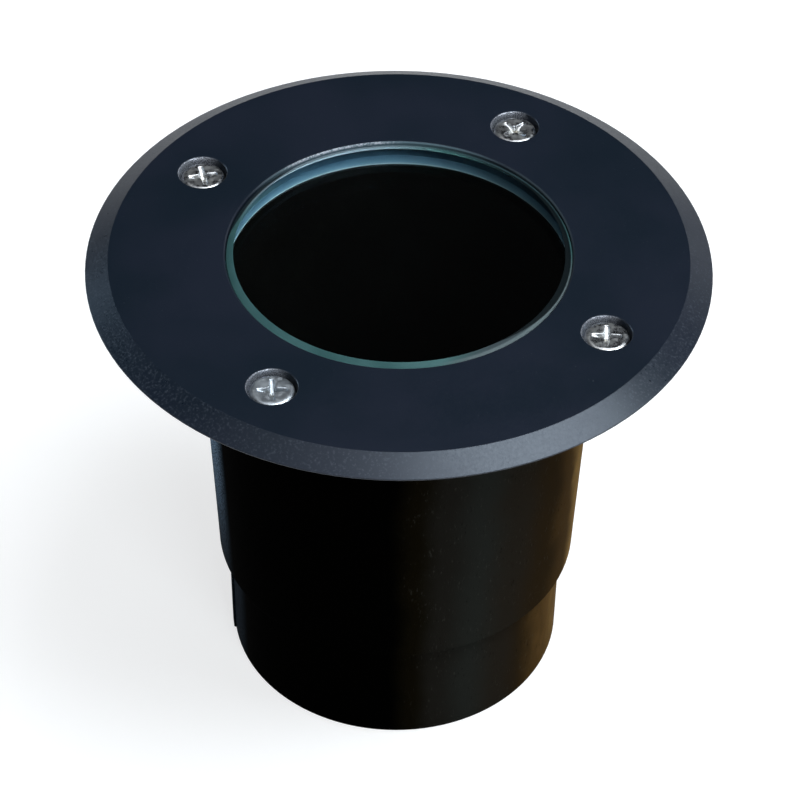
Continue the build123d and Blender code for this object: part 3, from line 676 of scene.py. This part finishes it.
def recess_depth(u, v):
    """Cross recess: four wings whose floors rise outwards, round a conical core."""
    deepest = 0.0
    for along, across in ((abs(u), abs(v)), (abs(v), abs(u))):
        if along < RECESS_REACH:
            reach = along / RECESS_REACH
            half = RECESS_HALF_WIDTH * (1.0 - RECESS_TAPER * reach)
            wall = min(1.0, max(0.0, (half - across) / RECESS_WALL))
            end = min(1.0, (RECESS_REACH - along) / RECESS_END)
            deepest = max(deepest, RECESS_DEPTH * (1.0 - RECESS_RISE * reach) * wall * end)
    core = max(0.0, 1.0 - math.hypot(u, v) / RECESS_CORE)
    return max(deepest, RECESS_DEPTH * CORE_DEEPER * core ** CORE_CURVE)


def crown_radii():
    """Fine steps over the recess, wider ones out to the rim."""
    fine = [CROWN_START + CROWN_STEP * k for k in range(round(RECESS_REACH / CROWN_STEP))]
    rim_steps = round((HEAD_RADIUS - RECESS_REACH) / RIM_STEP)
    return fine + [RECESS_REACH + RIM_STEP * k for k in range(1, rim_steps)] + [HEAD_RADIUS]


def thread_radius(depth, a):
    """Radius of the shank at a depth under the head and an angle, narrowing at its tip."""
    phase = (depth / THREAD_PITCH + a / math.tau) % 1.0
    tip = min(1.0, (SCREW_LENGTH - depth) / SHANK_TIP)
    return SHANK_RADIUS - THREAD_DEPTH * abs(2.0 * phase - 1.0) - SHANK_TIP_NARROWING * (1.0 - tip)


def head_points(a):
    """(radius, height) down the head at an angle, from its middle to the shank."""
    points = []
    for radius in crown_radii():
        dip = recess_depth(radius * math.cos(a), radius * math.sin(a))
        points.append((radius, head_height(radius) - dip))
    points.append((HEAD_RADIUS, HEAD_EDGE * 0.5))
    points.append((HEAD_RADIUS, HEAD_CHAMFER))
    points.append((HEAD_RADIUS - HEAD_CHAMFER, 0.0))
    points.append((SHANK_RADIUS, 0.0))
    return points


def shank_points(a):
    """(radius, height) down the threaded shank at an angle."""
    steps = int(SCREW_LENGTH / THREAD_PITCH * STEPS_PER_TURN)
    depths = [SCREW_LENGTH * k / steps for k in range(1, steps + 1)]
    return [(thread_radius(depth, a), -depth) for depth in depths]


def screw_mesh(name, finish):
    mesh = bmesh.new()
    angles = [math.tau * n / AROUND for n in range(AROUND)]
    profiles = [head_points(a) + shank_points(a) for a in angles]
    rings = []
    for level in zip(*profiles):
        ring = []
        for a, (radius, height) in zip(angles, level):
            ring.append(mesh.verts.new((radius * math.cos(a) * MM, radius * math.sin(a) * MM, height * MM)))
        rings.append(ring)
    for low, high in zip(rings, rings[1:]):
        for n in range(AROUND):
            m = (n + 1) % AROUND
            mesh.faces.new((low[n], high[n], high[m], low[m])).smooth = True
    mesh.faces.new(rings[0])
    mesh.faces.new(tuple(reversed(rings[-1])))
    bmesh.ops.recalc_face_normals(mesh, faces=mesh.faces)
    data = bpy.data.meshes.new(name)
    mesh.to_mesh(data)
    mesh.free()
    data.materials.append(finish.material)
    return data


def add_screws(finish):
    data = screw_mesh("trim_screw", finish)
    for number, ((x, y), turn) in enumerate(zip(SCREW_PLACES, SCREW_TURNS), 1):
        screw = bpy.data.objects.new(f"trim_screw_{number}", data.copy())
        seat = Matrix.Translation((x * MM, y * MM, SCREW_SEAT * MM))
        screw.data.transform(seat @ Matrix.Rotation(math.radians(turn), 4, "Z"))
        bpy.context.collection.objects.link(screw)
        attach(screw, "screws")
        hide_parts("trim_screws")


add_screws(finishes["trim_screws"])


# ---------------------------------------------------------------- floor, world and lamps, in metres
FLOOR_SIZE = 12.0
FLOOR_GLOW = 0.70
FLOOR_BLOTCH = 0.7
HORIZON = (0.62, 0.63, 0.65)
ZENITH = (0.9, 0.93, 0.97)
SKY_TINT = (1.0, 1.02, 1.06)
SKY_LEVELS = ((0.06, 0.48), (0.28, 0.009), (0.84, 0.009), (0.93, 0.9))


def add_floor():
    """White floor that glows to the camera, in reflections and through the glass."""
    f = Finish("floor_white", roughness=0.9, Specular_IOR_Level=0.0)
    f.set("Base Color", f.mix(f.noise(FLOOR_BLOTCH / MM), (0.41, 0.41, 0.41), (0.44, 0.44, 0.44)))
    rays = f.add("ShaderNodeLightPath").outputs
    seen = f.math("MAXIMUM", rays["Is Camera Ray"], rays["Is Glossy Ray"])
    seen = f.math("MAXIMUM", seen, rays["Is Transmission Ray"])
    f.shader.inputs["Emission Color"].default_value = (1.0, 1.0, 1.0, 1.0)
    f.set("Emission Strength", f.times(seen, FLOOR_GLOW))
    mesh = bmesh.new()
    bmesh.ops.create_grid(mesh, x_segments=8, y_segments=8, size=FLOOR_SIZE / 2)
    data = bpy.data.meshes.new("floor")
    mesh.to_mesh(data)
    mesh.free()
    data.materials.append(f.material)
    floor = bpy.data.objects.new("floor", data)
    bpy.context.collection.objects.link(floor)


def add_world():
    """Pale at the horizon and overhead, dark between."""
    world = bpy.data.worlds.new("studio")
    world.use_nodes = True
    tree = world.node_tree
    sky = tree.nodes["Background"]
    place = tree.nodes.new("ShaderNodeTexCoord").outputs["Generated"]
    split = tree.nodes.new("ShaderNodeSeparateXYZ")
    tree.links.new(place, split.inputs[0])
    ramp = tree.nodes.new("ShaderNodeValToRGB")
    tree.links.new(split.outputs[2], ramp.inputs[0])
    stops = ramp.color_ramp.elements
    stops[0].position, stops[0].color = 0.0, colour(HORIZON)
    stops[1].position, stops[1].color = 1.0, colour(ZENITH)
    for position, level in SKY_LEVELS:
        stops.new(position).color = colour(tuple(level * part for part in SKY_TINT))
    tree.links.new(ramp.outputs[0], sky.inputs["Color"])
    sky.inputs["Strength"].default_value = 1.0
    bpy.context.scene.world = world


def add_lamp(name, place, size, power, tint):
    """A rectangular lamp that faces AIM."""
    data = bpy.data.lights.new(name, "AREA")
    data.shape = "RECTANGLE"
    data.size, data.size_y = size
    data.energy = power
    data.color = tint
    lamp = bpy.data.objects.new(name, data)
    lamp.location = place
    lamp.rotation_euler = (AIM - Vector(place)).to_track_quat("-Z", "Y").to_euler()
    bpy.context.collection.objects.link(lamp)


add_floor()
add_world()
add_lamp("top_box", place=(0.43, -0.10, 0.98), size=(0.56, 0.80), power=14.0, tint=(0.88, 0.95, 1.0))
add_lamp("front_box", place=(0.30, -0.75, 0.65), size=(0.35, 0.35), power=3.0, tint=(0.90, 0.96, 1.0))
add_lamp("right_box", place=(0.95, 0.95, 0.50), size=(0.45, 0.45), power=0.6, tint=(0.95, 0.97, 1.0))
add_lamp("left_box", place=(-1.0, 0.55, 0.30), size=(0.5, 0.5), power=3.0, tint=(0.60, 0.80, 1.0))

bpy.context.scene.view_settings.view_transform = "Standard"
